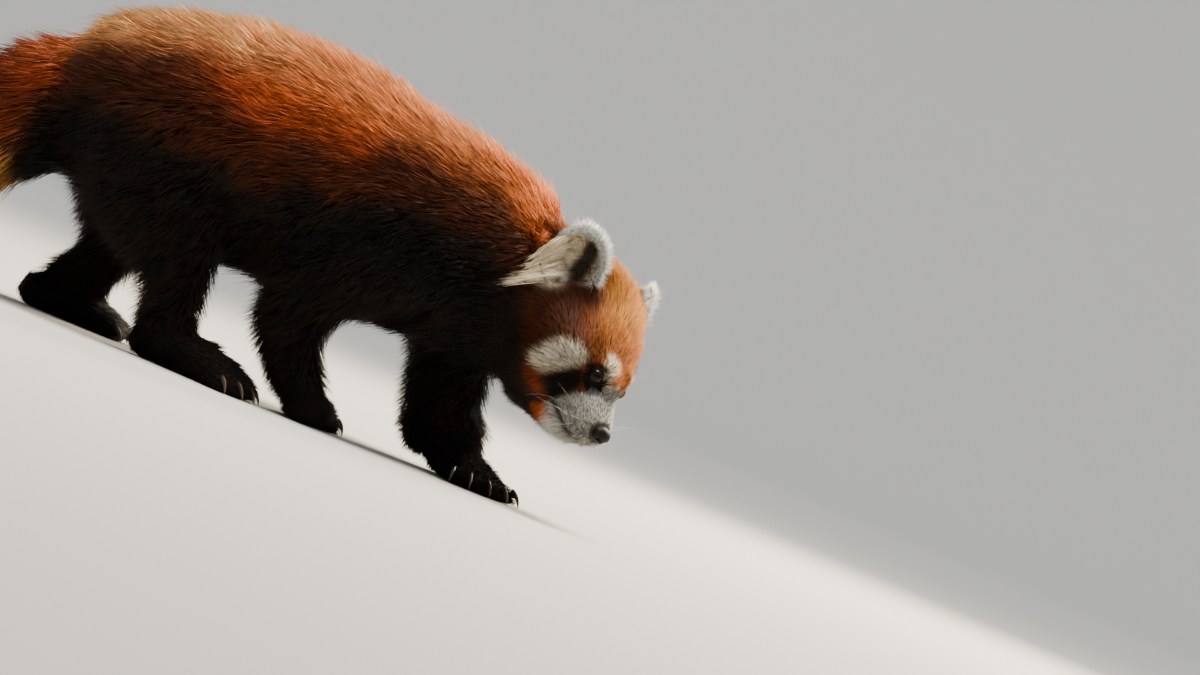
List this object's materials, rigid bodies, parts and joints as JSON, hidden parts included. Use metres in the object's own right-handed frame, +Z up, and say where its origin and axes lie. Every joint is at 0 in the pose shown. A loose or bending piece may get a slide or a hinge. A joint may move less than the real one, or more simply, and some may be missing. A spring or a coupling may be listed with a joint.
{
  "type": "red panda",
  "caption": "Life-size still model of a walking red panda with its head lowered and turned aside, bushy ringed tail trailing behind.",
  "frame": {"origin": "middle of the bounding box, on the floor that the soles rest on", "axes": "+X forward along the body, +Y to the animal's left, +Z up"},
  "size_m": [0.8644, 0.218, 0.2974],
  "materials": {
    "rust": "dense rust-red fur",
    "umber": "brown-black fur",
    "gold": "short orange-gold fur with cream face markings",
    "cream": "fluffy cream-white fur",
    "ring": "ringed rust and buff fur",
    "nose": "moist black pebbled skin",
    "eye": "wet dark brown",
    "horn": "pale horn"
  },
  "bodies": {
    "root": {"head": "gold", "ear_right": "cream", "ear_left": "cream", "eye_right": "eye", "eye_left": "eye", "nose": "nose", "trunk_rear": "rust", "trunk_middle": "rust", "trunk_front": "rust", "neck": "rust", "tail_base": "rust", "tail_middle": "ring", "tail_tip": "umber", "right_hind_thigh": "umber", "right_hind_shank": "umber", "right_hind_foot": "umber", "right_fore_arm": "umber", "right_forearm": "umber", "right_fore_paw": "umber", "left_hind_thigh": "umber", "left_hind_shank": "umber", "left_hind_foot": "umber", "left_fore_arm": "umber", "left_forearm": "umber", "left_fore_paw": "umber", "right_fore_claw_1": "horn", "right_fore_claw_2": "horn", "right_fore_claw_3": "horn", "right_fore_claw_4": "horn", "right_fore_claw_5": "horn", "left_fore_claw_1": "horn", "left_fore_claw_2": "horn", "left_fore_claw_3": "horn", "left_fore_claw_4": "horn", "left_fore_claw_5": "horn", "right_hind_claw_1": "horn", "right_hind_claw_2": "horn", "right_hind_claw_3": "horn", "right_hind_claw_4": "horn", "right_hind_claw_5": "horn", "left_hind_claw_1": "horn", "left_hind_claw_2": "horn", "left_hind_claw_3": "horn", "left_hind_claw_4": "horn", "left_hind_claw_5": "horn"}
  },
  "joints": []
}
